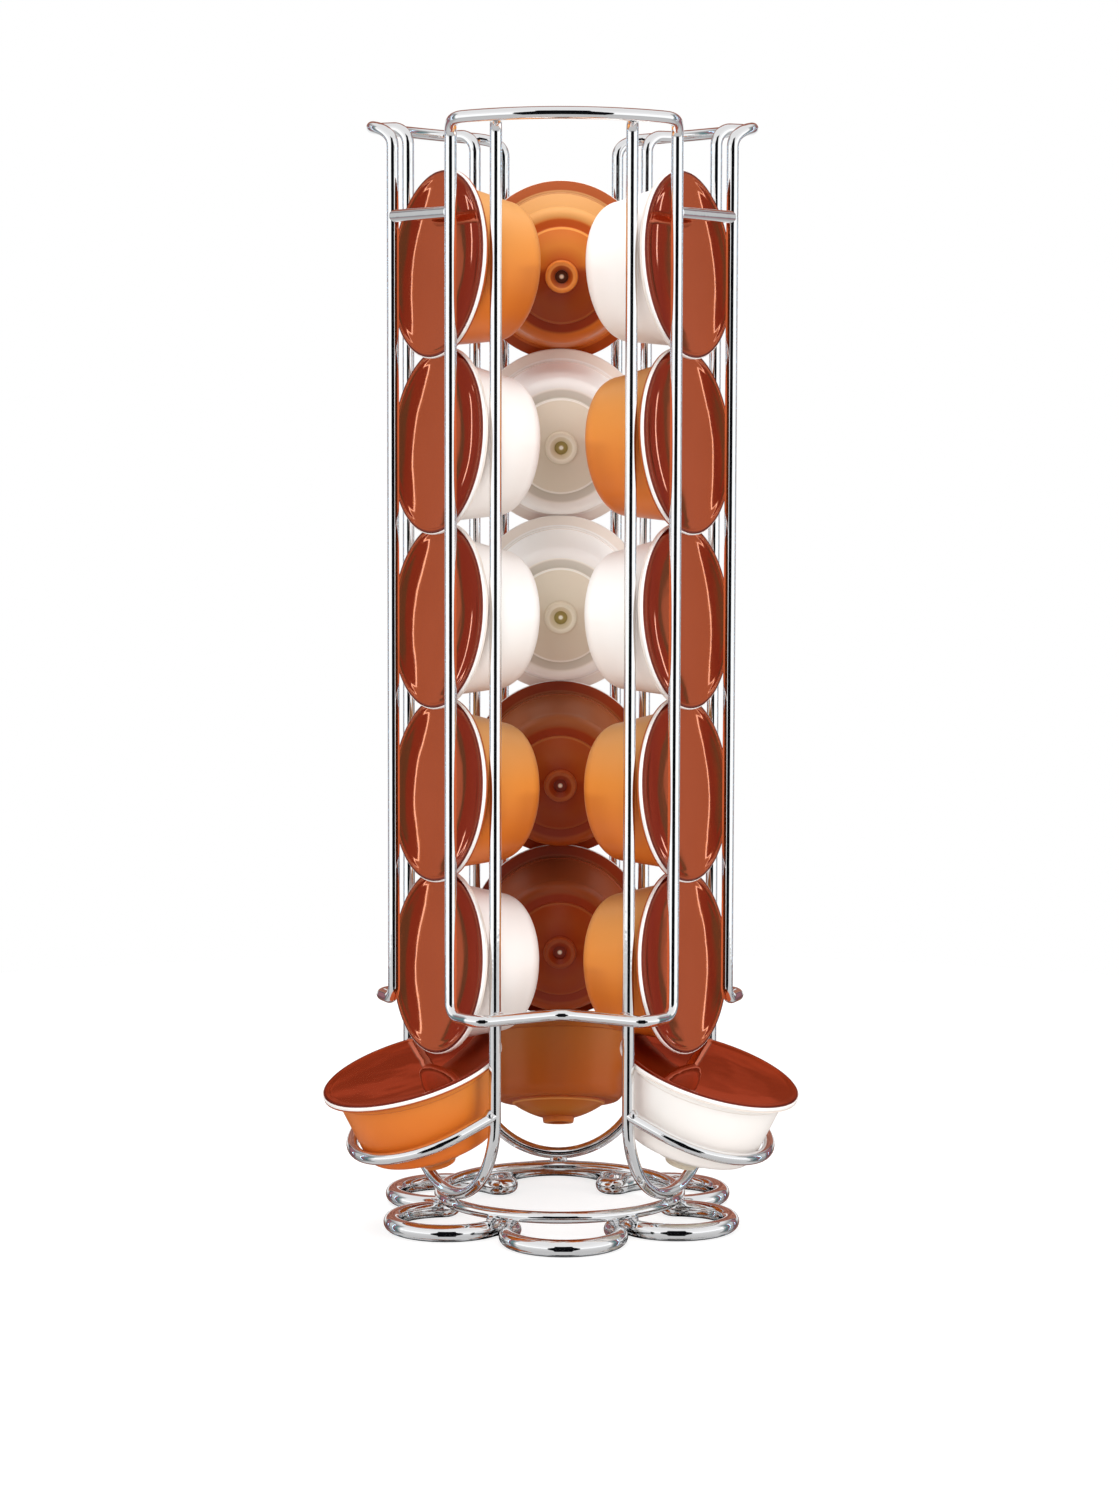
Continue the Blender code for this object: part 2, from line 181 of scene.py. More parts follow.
solid_mouth_radius = 0.0233
solid_body_start = 0.0016
cradle_tilt = math.radians(18.0)
cradle_lean = math.pi / 2.0 - cradle_tilt
stack_lean = math.radians(5.2)
spin_step = math.radians(47.0)

# Film: the height of its creases, how close together they are, and the radii where they fade out
# and where its sealed edge is painted dark, as painted shade.
stack_crease = 0.00006
cradle_crease = 0.00018
crease_scale = 75.0
crease_radii = (0.0200, 0.0236)
film_edge_shade_radii = (0.0257, 0.0262)

# Weld beads: their half sizes outward, sideways and up, and their lumps.
bead_sizes = {
    "crossbar_welds": (0.0014, 0.0013, 0.0019),
    "guide_top_welds": (0.0014, 0.0019, 0.0016),
    "hoop_welds": (0.0014, 0.0016, 0.0019),
    "frame_foot_welds": (0.0016, 0.0022, 0.0021),
    "guide_foot_welds": (0.0014, 0.0026, 0.0015),
    "ring_welds": (0.0014, 0.0017, 0.0008),
}
weld_lump_height = 0.0003
weld_lump_scale = 620.0

# Headings are turned from the front, towards +X.
column_headings = {"left": -60.0, "right": 60.0, "back": 180.0}
frame_headings = {"front": 0.0, "back_right": 120.0, "back_left": -120.0}

# Cup colours of each column, from the cradle up.
cup_colours = {
    "left": ("orange", "white", "orange", "white", "white", "orange"),
    "right": ("white", "orange", "orange", "white", "orange", "white"),
    "back": ("orange", "orange", "orange", "white", "white", "orange"),
}

# How far each cup's whole wall is darkened for coffee and painted shade, or below 0, given a painted glow.
cup_shades = {
    "left": (0.0, 0.0, 0.0, 0.0, 0.0, 0.0),
    "right": (0.0, 0.0, 0.0, 0.0, 0.0, 0.0),
    "back": (0.42, 0.84, 0.74, -0.09, -0.06, 0.0),
}

# Where each painted shade, shadow line, highlight and glint of a cup begins and ends, as radius,
# depth or level, and how strong it is. Darkening below a level stands for coffee and painted shade.
# A third number says how softly it does.
base_ramp_radius = 0.0205
underside_depths = (0.0190, 0.0212)
underside_radii = (0.0164, 0.0176)
neck_shadow_line = (0.00395, 0.00425, 0.0001)
flange_shadow_line = (0.00190, 0.00225, 0.0001)
flange_shade_radii = (0.0240, 0.0243)
coffee_and_shade_levels = (-0.0005, 0.0022)
coffee_and_shade_waver = 0.003
coffee_and_shade_radii = (0.0046, 0.0052)
coffee_and_shade_depths = (0.0120, 0.0200)
glint_radii = (0.0003, 0.0009)
shadow_line_share = 0.30
flange_shade_share = 0.80
wall_coffee_and_shade_share = 0.25
settled_fade_share = 0.6
hanging_fade_share = 0.8

# Camera, fitted to the photograph about the tower's axis.
camera_lens = 89.913
camera_sensor = 36.0
camera_orbit = math.radians(-0.632)
camera_place = (-0.000396, -1.098252, 0.247457)
camera_fall = math.radians(5.632)
camera_roll = math.radians(0.153)

# Studio: soft boxes with their place, aim, size and power, and the floor.
soft_boxes = {
    "top_box": ((0.0, -0.10, 1.10), (0.0, 0.0, 0.15), 0.9, 7.6),
    "front_box": ((-0.45, -1.10, 0.55), (0.0, 0.0, 0.16), 0.7, 5.6),
    "right_box": ((0.80, -0.55, 0.45), (0.0, 0.0, 0.16), 0.6, 3.6),
}
floor_radius = 0.50
floor_sides = 96
floor_glow = 0.76
floor_tone = (0.36, 0.36, 0.36, 1.0)
floor_light = (0.78, 0.78, 0.78, 1.0)
floor_gloss = (0.68, 0.68, 0.68, 1.0)

# How bright mirrors and matte surfaces find the studio.
mirror_strength = 1.12
matte_strength = 0.62

# What mirrors show of the studio: grey levels or colours by turn away from the front, in degrees.
red_shade = (0.27, 0.12, 0.14)
cool_shade = (0.13, 0.21, 0.22)
room_stops = [
    (0, 1.0), (93, 1.0), (97, 0.45), (102, cool_shade), (107, cool_shade), (110, red_shade),
    (114.3, red_shade), (115.2, 0.50), (124.2, 0.50), (125.0, cool_shade), (126.6, cool_shade),
    (127.4, red_shade), (137, red_shade), (141, 0.05), (146, 0.4), (152, 0.8), (180, 0.8),
]
soft_room_stops = [(0, 1.0), (88, 1.0), (96, 0.24), (144, 0.24), (152, 0.8), (180, 0.8)]
high_wall = (0.82, 0.81, 0.81, 1.0)
ceiling = (0.74, 0.73, 0.73, 1.0)
ground = (0.40, 0.40, 0.40, 1.0)
strip_light = (2.2, 4.2, 5.8, 1.0)
dark_patch = (0.23, 0.085, 0.060, 1.0)
pale_patch = (0.39, 0.165, 0.115, 1.0)
black_card = (0.004, 0.004, 0.005, 1.0)

# Where each part of that studio begins and ends, as turn or as rise above the level, in degrees.
# A third number says how softly it does.
corner_rises = (5.0, 13.0)
corner_turns = (118.0, 123.0)
corner_shift = 5.0
waver_turn = 9.0
calm_turns = (113.2, 124.0, 2.0)
steep_rises = (21.0, 27.0)
high_rises = (8.0, 14.0)
high_turns = (88.0, 94.0)
strip_turns = (114.5, 114.95, 0.15)
glint_turns = (131.8, 132.4, 0.2)
glint_rises = (0.5, 5.5, 0.5)
ceiling_rises = (24.0, 42.0)
ground_rises = (-32.0, -12.0)
wall_turns = (146.0, 152.0)
wall_rises = (8.0, 58.0, 4.0)
patch_levels = (0.44, 0.58)
card_half_turn = 26.0
card_softness = 0.5
card_rises = (-50.0, 33.0, 1.5)
card_foot_rises = (-32.0, -18.0)
card_head_rises = (4.0, 24.0)
card_foot_change = 3.0
card_head_change = 12.0


# Node trees, written as sums

class Field:
    """A value that changes over a surface or a shape: an output of a node, usable in sums."""

    def __init__(self, recipe, node, output):
        self.recipe = recipe
        self.node = node
        self.socket = node.outputs[output] if len(node.outputs) else None

    def other(self, output):
        """Another output of the same node."""
        return Field(self.recipe, self.node, output)

    def __add__(self, value):
        return self.recipe.maths("ADD", self, value)

    def __radd__(self, value):
        return self.recipe.maths("ADD", value, self)

    def __sub__(self, value):
        return self.recipe.maths("SUBTRACT", self, value)

    def __rsub__(self, value):
        return self.recipe.maths("SUBTRACT", value, self)

    def __mul__(self, value):
        return self.recipe.maths("MULTIPLY", self, value)

    def __rmul__(self, value):
        return self.recipe.maths("MULTIPLY", value, self)

    def __truediv__(self, value):
        return self.recipe.maths("DIVIDE", self, value)

    def __rtruediv__(self, value):
        return self.recipe.maths("DIVIDE", value, self)


class Recipe:
    """A node tree that is being written, for a finish or for a shape."""

    def __init__(self, tree):
        self.tree = tree
        tree.nodes.clear()

    def node(self, kind, settings=None, sockets=None, output=0):
        """A node of any type: its settings first, then the values or links of its sockets."""
        made = self.tree.nodes.new(kind)
        for name, value in (settings or {}).items():
            if name == "stops":
                self.set_stops(made.color_ramp, value)
            else:
                setattr(made, name, value)
        for name, value in (sockets or {}).items():
            if isinstance(value, Field):
                self.tree.links.new(value.socket, made.inputs[name])
            else:
                made.inputs[name].default_value = value
        return Field(self, made, output)

    def set_stops(self, ramp, stops):
        """Give a colour ramp its places and colours."""
        while len(ramp.elements) > 1:
            ramp.elements.remove(ramp.elements[-1])
        for i, (place, colour) in enumerate(stops):
            element = ramp.elements[0] if i == 0 else ramp.elements.new(place)
            element.position = place
            red_green_blue = colour[:3] if isinstance(colour, tuple) else (colour,) * 3
            element.color = (*red_green_blue, 1.0)

    def ramp(self, value, stops):
        """A colour read from places between 0 and 1."""
        return self.node("ShaderNodeValToRGB", {"stops": stops}, {0: value})

    def maths(self, operation, *values):
        """A Math node on one value or two."""
        return self.node("ShaderNodeMath", {"operation": operation}, dict(enumerate(values)))

    def smooth(self, value, start, end):
        """0 before the start and 1 past the end, with a soft step between them."""
        return self.node("ShaderNodeMapRange", {"interpolation_type": "SMOOTHSTEP"},
                         {0: value, 1: start, 2: end, 3: 0.0, 4: 1.0})

    def band(self, value, start, end, softness):
        """1 between two places and 0 outside them."""
        rise = self.smooth(value, start - softness, start)
        return rise * (1.0 - self.smooth(value, end, end + softness))

    def blend(self, share, first, second):
        """Mix two colours."""
        return self.node("ShaderNodeMix", {"data_type": "RGBA"}, {0: share, 6: first, 7: second}, 2)

    def attribute(self, name):
        """A number that the piece's mesh carries."""
        return self.node("ShaderNodeAttribute", {"attribute_name": name}, output="Fac")

    def noise(self, scale, detail=2.0):
        """Soft random variation, fixed to the piece."""
        place = self.node("ShaderNodeTexCoord", output="Object")
        return self.node("ShaderNodeTexNoise", {}, {"Vector": place, "Scale": scale, "Detail": detail})

    def bump(self, height, strength, distance):
        """Fine relief in the finish."""
        sockets = {"Height": height, "Strength": strength, "Distance": distance}
        return self.node("ShaderNodeBump", {}, sockets)


def srgb(red, green, blue):
    """A colour read off as 0 to 255, as the renderer's linear colour."""
    def linear(value):
        share = value / 255.0
        return share / 12.92 if share <= 0.04045 else ((share + 0.055) / 1.055) ** 2.4
    return (linear(red), linear(green), linear(blue), 1.0)


def toned(stops):
    """Ramp stops that are given as a place and a colour of 0 to 255."""
    return [(place, srgb(*tone)) for place, *tone in stops]


def finish_recipe(name):
    """A new material's tree, with its output still to be linked."""
    material = bpy.data.materials.new(name)
    material.use_nodes = True
    return material, Recipe(material.node_tree)


def close_finish(recipe, sockets):
    """The surface shader and the output."""
    surface = recipe.node("ShaderNodeBsdfPrincipled", {}, sockets)
    recipe.node("ShaderNodeOutputMaterial", {}, {"Surface": surface})


# Finishes

def polished_chrome():
    """Plated wire: mirror bright, with a faint haze that comes and goes along it."""
    material, recipe = finish_recipe("polished_chrome")
    haze = recipe.noise(90.0, 3.0)
    drawn = recipe.noise(260.0, 2.0)
    close_finish(recipe, {
        "Base Color": recipe.blend(haze, (0.88, 0.89, 0.90, 1.0), (0.93, 0.94, 0.95, 1.0)),
        "Metallic": 1.0,
        "Roughness": 0.035 + haze * 0.03,
        "Normal": recipe.bump(drawn, 0.08, 0.0004),
    })
    return material


def weld_chrome():
    """Plated weld metal: the same bright skin over a lumpy bead."""
    material, recipe = finish_recipe("weld_chrome")
    lumps = recipe.noise(900.0, 2.0)
    close_finish(recipe, {
        "Base Color": recipe.blend(lumps, (0.66, 0.66, 0.68, 1.0), (0.88, 0.88, 0.89, 1.0)),
        "Metallic": 1.0,
        "Roughness": 0.10 + lumps * 0.14,
        "Normal": recipe.bump(lumps, 0.35, 0.0004),
    })
    return material


def cup_plastic(name, side_stops_painted_light, base_stops_painted_light, flange_shade_colour, coffee_and_shade_colour, coffee_and_shade_share, glint, lit_through):
    """Thin translucent plastic with painted light: lighter on top, darker for coffee and painted shade,
    painted glow.
    """
    material, recipe = finish_recipe(name)
    radius = recipe.attribute("turn_radius")
    depth = recipe.attribute("turn_depth")
    level = recipe.attribute("level")
    shade = recipe.attribute("shade")
    upright = recipe.attribute("upright")
    # Painted light and shade: the side is lighter higher on the cup and darker lower down.
    side = recipe.ramp(level / (2.0 * rim_radius) + 0.5, toned(side_stops_painted_light))
    # Painted highlight rings on the boss and the step's edge, painted shade rings beside them, darker in the
    # outlet.
    bottom = recipe.ramp(radius / base_ramp_radius, toned(base_stops_painted_light))
    underside = recipe.smooth(depth, *underside_depths) * (1.0 - recipe.smooth(radius, *underside_radii))
    colour = recipe.blend(underside, side, bottom)
    # Painted shadow at the neck and under the flange, as thin dark rings.
    shadow_lines = recipe.band(depth, *neck_shadow_line) + recipe.band(depth, *flange_shadow_line)
    colour = recipe.blend(shadow_lines * shadow_line_share, colour, coffee_and_shade_colour)
    # Painted shade on the flange.
    flange = recipe.smooth(radius, *flange_shade_radii)
    colour = recipe.blend(flange * flange_shade_share, colour, flange_shade_colour)
    # Darker below a level and towards the base: partly coffee behind the wall, partly painted shade.
    surface = level + recipe.noise(140.0) * coffee_and_shade_waver
    settled_coffee_and_shade = upright * (1.0 - recipe.smooth(surface, *coffee_and_shade_levels))
    dark = underside * recipe.smooth(radius, *coffee_and_shade_radii) * settled_coffee_and_shade
    dark = dark + (1.0 - underside) * recipe.smooth(depth, *coffee_and_shade_depths) * settled_coffee_and_shade * wall_coffee_and_shade_share
    colour = recipe.blend(dark * coffee_and_shade_share, colour, coffee_and_shade_colour)
    # A cradle cup's downward base gets less painted shade; each cup's Shade darkens its whole wall as coffee
    # and painted shade.
    hanging = (1.0 - upright) * underside
    through = shade * (1.0 - dark * settled_fade_share) * (1.0 - hanging * hanging_fade_share)
    colour = recipe.blend(through, colour, coffee_and_shade_colour)
    # A painted glint in the middle of the outlet.
    glow = 1.0 - recipe.smooth(radius, *glint_radii)
    colour = recipe.blend(glow, colour, glint)
    # A painted glow: emission of the cup's colour where Shade is below 0, and a little on every base.
    lit = recipe.maths("MAXIMUM", shade * -1.0, underside * lit_through)
    cloud = recipe.noise(70.0, 3.0)
    grain = recipe.noise(700.0, 2.0)
    close_finish(recipe, {
        "Base Color": colour,
        "Roughness": 0.30 + cloud * 0.10,
        "IOR": 1.34,
        "Emission Color": recipe.blend(lit, (0.0, 0.0, 0.0, 1.0), colour),
        "Emission Strength": 1.0,
        "Normal": recipe.bump(grain, 0.08, 0.0002),
    })
    return material


def orange_plastic():
    """The orange cups, with the lower half of their bases darker, for coffee and painted shade."""
    # Painted light and shade up the side: darker at the bottom, lighter at the top.
    side = [
        (0.02, 216, 106, 30), (0.30, 218, 120, 42), (0.55, 218, 136, 58), (0.80, 213, 152, 88),
        (0.98, 210, 160, 108),
    ]
    # Painted highlight and shade rings on the base, darker in the outlet.
    bottom = [
        (0.0, 92, 44, 20), (0.095, 84, 38, 18), (0.10, 150, 62, 20), (0.155, 186, 88, 30),
        (0.17, 236, 150, 74), (0.225, 226, 128, 50), (0.245, 168, 74, 24), (0.26, 192, 94, 30),
        (0.45, 206, 120, 42), (0.66, 200, 106, 34), (0.672, 236, 158, 80), (0.69, 236, 158, 80),
        (0.70, 182, 78, 20), (0.80, 182, 78, 20), (0.84, 214, 124, 46),
    ]
    return cup_plastic("orange_plastic", side, bottom, flange_shade_colour=srgb(158, 58, 10),
                       coffee_and_shade_colour=srgb(134, 38, 11), coffee_and_shade_share=0.80,
                       glint=srgb(250, 226, 200), lit_through=0.04)


def white_plastic():
    """The white cups, milky, with a warm darker tone for coffee and painted shade."""
    # Painted light and shade up the side: darker at the bottom, lighter at the top.
    side = [
        (0.02, 244, 236, 230), (0.30, 248, 243, 238), (0.60, 250, 248, 245), (0.98, 252, 251, 250),
    ]
    # Painted highlight and shade rings on the base, darker in the outlet.
    bottom = [
        (0.0, 176, 158, 92), (0.095, 160, 142, 84), (0.10, 214, 200, 164), (0.155, 222, 210, 186),
        (0.17, 240, 232, 214), (0.215, 228, 218, 198), (0.235, 212, 198, 176), (0.26, 224, 214, 196),
        (0.66, 228, 218, 200), (0.672, 250, 246, 238), (0.69, 250, 246, 238), (0.70, 204, 198, 186),
        (0.80, 214, 208, 198), (0.84, 250, 244, 234),
    ]
    return cup_plastic("white_plastic", side, bottom, flange_shade_colour=srgb(232, 218, 206),
                       coffee_and_shade_colour=srgb(190, 158, 130), coffee_and_shade_share=0.22,
                       glint=srgb(255, 252, 240), lit_through=0.05)


def seal_plastic():
    """The white sealing rim that every cup has under its film."""
    material, recipe = finish_recipe("seal_plastic")
    cloud = recipe.noise(120.0, 2.0)
    close_finish(recipe, {
        "Base Color": recipe.blend(cloud, srgb(240, 232, 226), srgb(252, 250, 248)),
        "Roughness": 0.24 + cloud * 0.12,
        "IOR": 1.48,
    })
    return material


def lid_film():
    """Copper-red metal film: a tinted gloss with soft creases, and painted shade on the sealed edge."""
    material, recipe = finish_recipe("lid_film")
    radius = recipe.attribute("turn_radius")
    pressed = recipe.noise(160.0, 3.0)
    cloud = recipe.noise(45.0, 2.0)
    colour = recipe.blend(cloud, (0.54, 0.088, 0.018, 1.0), (0.62, 0.104, 0.022, 1.0))
    # Painted shade on the film's sealed edge.
    edge = recipe.smooth(radius, *film_edge_shade_radii)
    colour = recipe.blend(edge, colour, (0.24, 0.030, 0.014, 1.0))
    close_finish(recipe, {
        "Base Color": colour,
        "Metallic": 0.88,
        "Specular Tint": (1.0, 0.60, 0.50, 1.0),
        "Roughness": 0.03 + pressed * 0.03,
        "Coat Weight": 0.28 + cloud * 0.10,
        "Coat Roughness": 0.03,
        "Normal": recipe.bump(pressed, 0.02, 0.0004),
    })
    return material


# Shape trees

def shape_recipe(name, inputs):
    """A new Geometry Nodes tree with named inputs, and the node that reads them."""
    tree = bpy.data.node_groups.new(name, "GeometryNodeTree")
    tree.interface.new_socket("Geometry", in_out="INPUT", socket_type="NodeSocketGeometry")
    for label, kind in inputs.items():
        tree.interface.new_socket(label, in_out="INPUT", socket_type="NodeSocket" + kind)
    tree.interface.new_socket("Geometry", in_out="OUTPUT", socket_type="NodeSocketGeometry")
    recipe = Recipe(tree)
    return recipe, recipe.node("NodeGroupInput")


def close_shape(recipe, shape, finish):
    """Realize what is instanced, give it its material and hand it out."""
    real = recipe.node("GeometryNodeRealizeInstances", {}, {"Geometry": shape})
    painted = recipe.node("GeometryNodeSetMaterial", {}, {"Geometry": real, "Material": finish})
    recipe.node("NodeGroupOutput", {}, {"Geometry": painted})
    return recipe.tree


def carried(recipe, name, kind):
    """A value that the mesh carries, read inside a shape tree."""
    return recipe.node("GeometryNodeInputNamedAttribute", {"data_type": kind}, {"Name": name})


def marked(recipe, shape, name, value):
    """The shape with one more number on each of its points."""
    return recipe.node("GeometryNodeStoreNamedAttribute", {"data_type": "FLOAT", "domain": "POINT"},
                       {"Geometry": shape, "Name": name, "Value": value})


def swelled(recipe, shape, distance):
    """The shape with its points moved outwards by a distance."""
    offset = recipe.node("ShaderNodeVectorMath", {"operation": "SCALE"},
                         {0: recipe.node("GeometryNodeInputNormal"), "Scale": distance})
    return recipe.node("GeometryNodeSetPosition", {}, {"Geometry": shape, "Offset": offset})


def drawn_wire_tree():
    """A round wire drawn along a route of edges, open or closed."""
    recipe, given = shape_recipe("drawn wire", {
        "Wire radius": "Float",
        "Sides": "Int",
        "Finish": "Material",
    })
    route = recipe.node("GeometryNodeMeshToCurve", {}, {"Mesh": given})
    section = recipe.node("GeometryNodeCurvePrimitiveCircle", {}, {
        "Resolution": given.other("Sides"),
        "Radius": given.other("Wire radius"),
    })
    wire = recipe.node("GeometryNodeCurveToMesh", {}, {
        "Curve": route,
        "Profile Curve": section,
        "Fill Caps": True,
    })
    smooth = recipe.node("GeometryNodeSetShadeSmooth", {}, {"Geometry": wire, "Shade Smooth": True})
    return close_shape(recipe, smooth, given.other("Finish"))


def weld_bead_tree():
    """A lumpy bead on each point, with the size and turn that the point carries."""
    recipe, given = shape_recipe("weld beads", {
        "Lump height": "Float",
        "Finish": "Material",
    })
    bead = recipe.node("GeometryNodeMeshIcoSphere", {}, {"Radius": 1.0, "Subdivisions": 4})
    size = carried(recipe, "bead_size", "FLOAT_VECTOR")
    turn = carried(recipe, "bead_turn", "FLOAT_VECTOR")
    placed = recipe.node("GeometryNodeInstanceOnPoints", {}, {
        "Points": given,
        "Instance": bead,
        "Rotation": recipe.node("FunctionNodeEulerToRotation", {}, {"Euler": turn}),
        "Scale": size,
    })
    real = recipe.node("GeometryNodeRealizeInstances", {}, {"Geometry": placed})
    lumps = recipe.node("ShaderNodeTexNoise", {}, {"Scale": weld_lump_scale, "Detail": 1.0})
    shaped = swelled(recipe, real, (lumps - 0.5) * given.other("Lump height"))
    smooth = recipe.node("GeometryNodeSetShadeSmooth", {}, {"Geometry": shaped, "Shade Smooth": True})
    return close_shape(recipe, smooth, given.other("Finish"))


def turned_tree():
    """A solid turned from a profile of edges, creased by soft noise and set in its place."""
    recipe, given = shape_recipe("turned piece", {
        "Steps": "Int",
        "Crease height": "Float",
        "Crease inside": "Float",
        "Crease outside": "Float",
        "Shade": "Float",
        "Upright": "Float",
        "Centre": "Vector",
        "Turn": "Vector",
        "Finish": "Material",
    })
    steps = given.other("Steps")
    row = steps + 1
    rows = recipe.node("GeometryNodeAttributeDomainSize", {"component": "MESH"}, {"Geometry": given})
    grid = recipe.node("GeometryNodeMeshGrid", {}, {"Vertices X": rows, "Vertices Y": row})
    index = recipe.node("GeometryNodeInputIndex")
    along = recipe.maths("FLOOR", (index + 0.5) / row)
    around = (index - along * row) / steps * (2.0 * math.pi)
    place = recipe.node("GeometryNodeSampleIndex", {"data_type": "FLOAT_VECTOR", "domain": "POINT"}, {
        "Geometry": given,
        "Value": recipe.node("GeometryNodeInputPosition"),
        "Index": along,
    })
    parts = recipe.node("ShaderNodeSeparateXYZ", {}, {0: place})
    height = parts.other("Z")
    position = recipe.node("ShaderNodeCombineXYZ", {}, {
        "X": parts * recipe.maths("COSINE", around),
        "Y": parts * recipe.maths("SINE", around),
        "Z": height,
    })
    sheet = marked(recipe, grid, "turn_radius", parts)
    sheet = marked(recipe, sheet, "turn_depth", height * -1.0)
    sheet = marked(recipe, sheet, "shade", given.other("Shade"))
    sheet = marked(recipe, sheet, "upright", given.other("Upright"))
    turned = recipe.node("GeometryNodeSetPosition", {}, {"Geometry": sheet, "Position": position})
    closed = recipe.node("GeometryNodeMergeByDistance", {}, {"Geometry": turned, "Distance": merge_distance})
    placed = recipe.node("GeometryNodeTransform", {}, {
        "Geometry": closed,
        "Translation": given.other("Centre"),
        "Rotation": recipe.node("FunctionNodeEulerToRotation", {}, {"Euler": given.other("Turn")}),
    })
    here = recipe.node("ShaderNodeSeparateXYZ", {}, {0: recipe.node("GeometryNodeInputPosition")})
    centre = recipe.node("ShaderNodeSeparateXYZ", {}, {0: given.other("Centre")})
    levelled = marked(recipe, placed, "level", here.other("Z") - centre.other("Z"))
    radius = carried(recipe, "turn_radius", "FLOAT")
    reach = 1.0 - recipe.smooth(radius, given.other("Crease inside"), given.other("Crease outside"))
    front = recipe.maths("LESS_THAN", carried(recipe, "turn_depth", "FLOAT"), film_back - seat_gap / 2.0)
    folds = recipe.node("ShaderNodeTexNoise", {}, {"Scale": crease_scale, "Detail": 2.0, "Roughness": 0.4})
    creased = swelled(recipe, levelled, (folds - 0.5) * given.other("Crease height") * reach * front)
    smooth = recipe.node("GeometryNodeSetShadeSmooth", {}, {"Geometry": creased, "Shade Smooth": True})
    sharp = recipe.maths("GREATER_THAN", recipe.node("GeometryNodeInputMeshEdgeAngle"), sharp_angle)
    edged = recipe.node("GeometryNodeSetShadeSmooth", {"domain": "EDGE"},
                        {"Geometry": smooth, "Selection": sharp, "Shade Smooth": False})
    return close_shape(recipe, edged, given.other("Finish"))


def added(name, data):
    """A new object in the scene."""
    made = bpy.data.objects.new(name, data)
    bpy.context.scene.collection.objects.link(made)
    return made


def line_mesh(name, points, closed=False):
    """A chain of edges through points."""
    mesh = bpy.data.meshes.new(name)
    edges = [(i, i + 1) for i in range(len(points) - 1)]
    if closed:
        edges.append((len(points) - 1, 0))
    mesh.from_pydata([tuple(point) for point in points], edges, [])
    return mesh


def grown(name, mesh, tree, values, body, slot, *nodes):
    """Let a tree grow a plain mesh, and make it a piece that rides on its body."""
    seed = added(name + "_seed", mesh)
    modifier = seed.modifiers.new("shape", "NODES")
    modifier.node_group = tree
    for item in tree.interface.items_tree:
        if item.in_out == "INPUT" and item.name in values:
            modifier[item.identifier] = values[item.name]
    graph = bpy.context.evaluated_depsgraph_get()
    result = bpy.data.meshes.new_from_object(seed.evaluated_get(graph))
    bpy.data.objects.remove(seed, do_unlink=True)
    result.name = name
    piece = added(name, result)
    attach(piece, body)
    if nodes:
        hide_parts(*nodes)
    return piece


# Routes that the wires follow

def arc(centre, first, second, start, end, step):
    """Points on an arc about a centre, in the plane of two perpendicular radius vectors."""
    count = max(2, math.ceil(abs(end - start) / step))
    angles = [start + (end - start) * i / count for i in range(count + 1)]
    return [centre + first * math.cos(a) + second * math.sin(a) for a in angles]


def bend(before, corner, after, radius):
    """The round that replaces a corner between two straight runs."""
    incoming = (corner - before).normalized()
    outgoing = (after - corner).normalized()
    turn = incoming.angle(outgoing)
    start = corner - incoming * radius * math.tan(turn / 2.0)
    inward = (outgoing - incoming * incoming.dot(outgoing)).normalized()
    return arc(start + inward * radius, -inward * radius, incoming * radius, 0.0, turn, bend_step)


def crown_level(outward):
    """Height of a crown arch at a reach from the tower's axis."""
    return crown_height + crown_slope * (outward - upright_out)


def spoke(heading):
    """The level directions outward and sideways at a heading."""
    out = Vector((math.cos(heading), math.sin(heading), 0.0))
    return out, Vector((-out.y, out.x, 0.0))


def flower_route():
    """Six round lobes joined by tight cusps, lying flat on the table."""
    half_pitch = math.pi / lobe_count
    cusp_centre = cusp_reach + cusp_bend
    outward = cusp_centre * math.cos(half_pitch) - lobe_centre_radius
    sideways = cusp_centre * math.sin(half_pitch)
    radius = math.hypot(outward, sideways) - cusp_bend
    sweep = math.atan2(sideways, outward)
    up = Vector((0.0, 0.0, base_wire_radius))
    points = []
    for k in range(lobe_count):
        heading = 2.0 * half_pitch * k
        out, side = spoke(heading)
        points += arc(out * lobe_centre_radius + up, out * radius, side * radius, -sweep, sweep, lobe_step)
        out, side = spoke(heading + half_pitch)
        turn = sweep - half_pitch
        points += arc(out * cusp_centre + up, -out * cusp_bend, side * cusp_bend,
                      -turn, turn, bend_step)[1:-1]
    return points


def ring_route():
    """The ring that sits on the flower."""
    turns = [2.0 * math.pi * k / ring_steps for k in range(ring_steps)]
    return [Vector((ring_radius * math.cos(a), ring_radius * math.sin(a), ring_height)) for a in turns]


def guide_route():
    """A tall U whose arms turn out under the crown, up to the crown's wire."""
    end_run = arm_end_out - arm_out
    foot_centre = Vector((guide_reach, 0.0, guide_foot_height + guide_half_width))
    foot = arc(foot_centre, Vector((0.0, -guide_half_width, 0.0)), Vector((0.0, 0.0, -guide_half_width)),
               0.0, math.pi, math.pi / arch_steps)
    ends = {}
    for sign in (-1.0, 1.0):
        turn_out = Vector((math.cos(wing), sign * math.sin(wing), 0.0))
        top = Vector((guide_reach, sign * guide_half_width, crown_level(arm_end_out)))
        ends[sign] = (top + turn_out * end_run, top)
    route = [ends[-1.0][0]] + bend(ends[-1.0][0], ends[-1.0][1], foot[0], guide_top_bend)
    route += foot
    route += bend(foot[-1], ends[1.0][1], ends[1.0][0], guide_top_bend) + [ends[1.0][0]]
    return route


